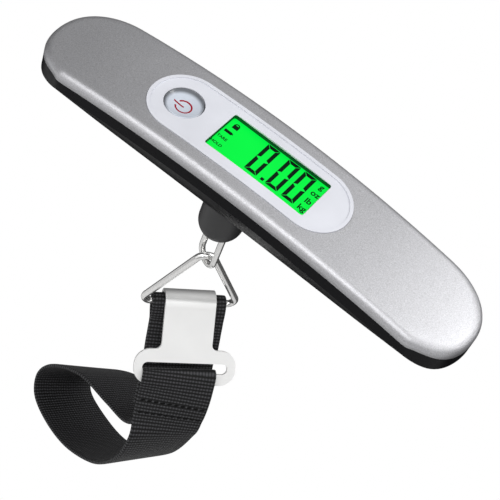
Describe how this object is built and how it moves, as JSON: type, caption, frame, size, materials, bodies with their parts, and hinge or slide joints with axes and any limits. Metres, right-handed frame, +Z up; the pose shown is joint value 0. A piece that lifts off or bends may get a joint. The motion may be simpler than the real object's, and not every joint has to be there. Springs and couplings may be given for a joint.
{
  "type": "digital luggage scale",
  "caption": "Hand-held luggage scale: arched handle with display and button, swivel hook, triangular ring and webbing strap with a slotted clasp.",
  "frame": {"origin": "crown of the handle's top face at mid-length, where a hand closes round it", "axes": "+X along the handle in the display's reading direction, +Y across it, +Z up out of the display"},
  "size_m": [0.155, 0.0584, 0.1638],
  "materials": {
    "silver_paint": "fine sparkle silver satin paint on moulded plastic",
    "black_gloss": "polished black moulding",
    "pale_plastic": "pale grey moulding",
    "button_plastic": "pale blue-grey moulding",
    "grey_plastic": "plain moulding",
    "display_green": "liquid-crystal glass lit green from behind",
    "led_white": "clear white",
    "strip_rubber": "conductive elastomer",
    "board_green": "green solder mask",
    "black_matte": "fine matte moulding",
    "steel": "plain zinc-plated steel",
    "beam_aluminium": "milled aluminium",
    "gauge_amber": "polyimide film",
    "washer_white": "low-friction acetal",
    "steel_polished": "nickel-plated steel",
    "webbing": "black ribbed polypropylene webbing"
  },
  "bodies": {
    "handle": {"top_cover": "silver_paint", "bottom_shell": "black_gloss", "display_bezel": "pale_plastic", "lcd_glass": "display_green", "backlight_panel": "pale_plastic", "backlight_leds": "led_white", "contact_strips": "strip_rubber", "circuit_board": "board_green", "controller_chip": "black_matte", "tact_switch": "black_matte", "board_screws": "steel", "load_cell_beam": "beam_aluminium", "strain_gauges": "gauge_amber", "gauge_flex": "gauge_amber", "load_cell_screws": "steel", "hook_shroud": "black_matte", "battery_tray": "black_matte", "battery_cell": "steel", "contact_positive": "steel", "contact_negative": "steel", "case_screws": "steel"},
    "button": {"power_button": "button_plastic", "switch_plunger": "grey_plastic"},
    "hook": {"swivel_stem": "steel", "swivel_nut": "steel", "thrust_washer": "washer_white", "swivel_yoke": "steel", "hook_shackle": "steel_polished"},
    "ring": {"triangle_ring": "steel_polished"},
    "strap": {"clasp_plate": "steel_polished", "webbing_strap": "webbing"},
    "battery_cover": {"battery_door": "black_gloss"}
  },
  "joints": [
    {"name": "button_press", "type": "slide", "parent": "handle", "child": "button", "axis": [0, 0, -1], "range_m": [0, 0.0006], "stiffness_N_per_m": 300},
    {"name": "hook_swivel", "type": "hinge", "parent": "handle", "child": "hook", "pos_m": [-0.006, 0, -0.034], "axis": [0, 0, 1], "continuous": true},
    {"name": "ring_swing", "type": "hinge", "parent": "hook", "child": "ring", "pos_m": [-0.006, 0, -0.0562], "axis": [0.891, -0.454, 0], "range_deg": [-60, 60]},
    {"name": "strap_swing", "type": "hinge", "parent": "ring", "child": "strap", "pos_m": [-0.006, 0, -0.08065], "axis": [0.7314, 0.682, 0], "range_deg": [-60, 40]},
    {"name": "door_lift", "type": "slide", "parent": "handle", "child": "battery_cover", "axis": [0, 0, -1], "range_m": [0, 0.012]}
  ]
}
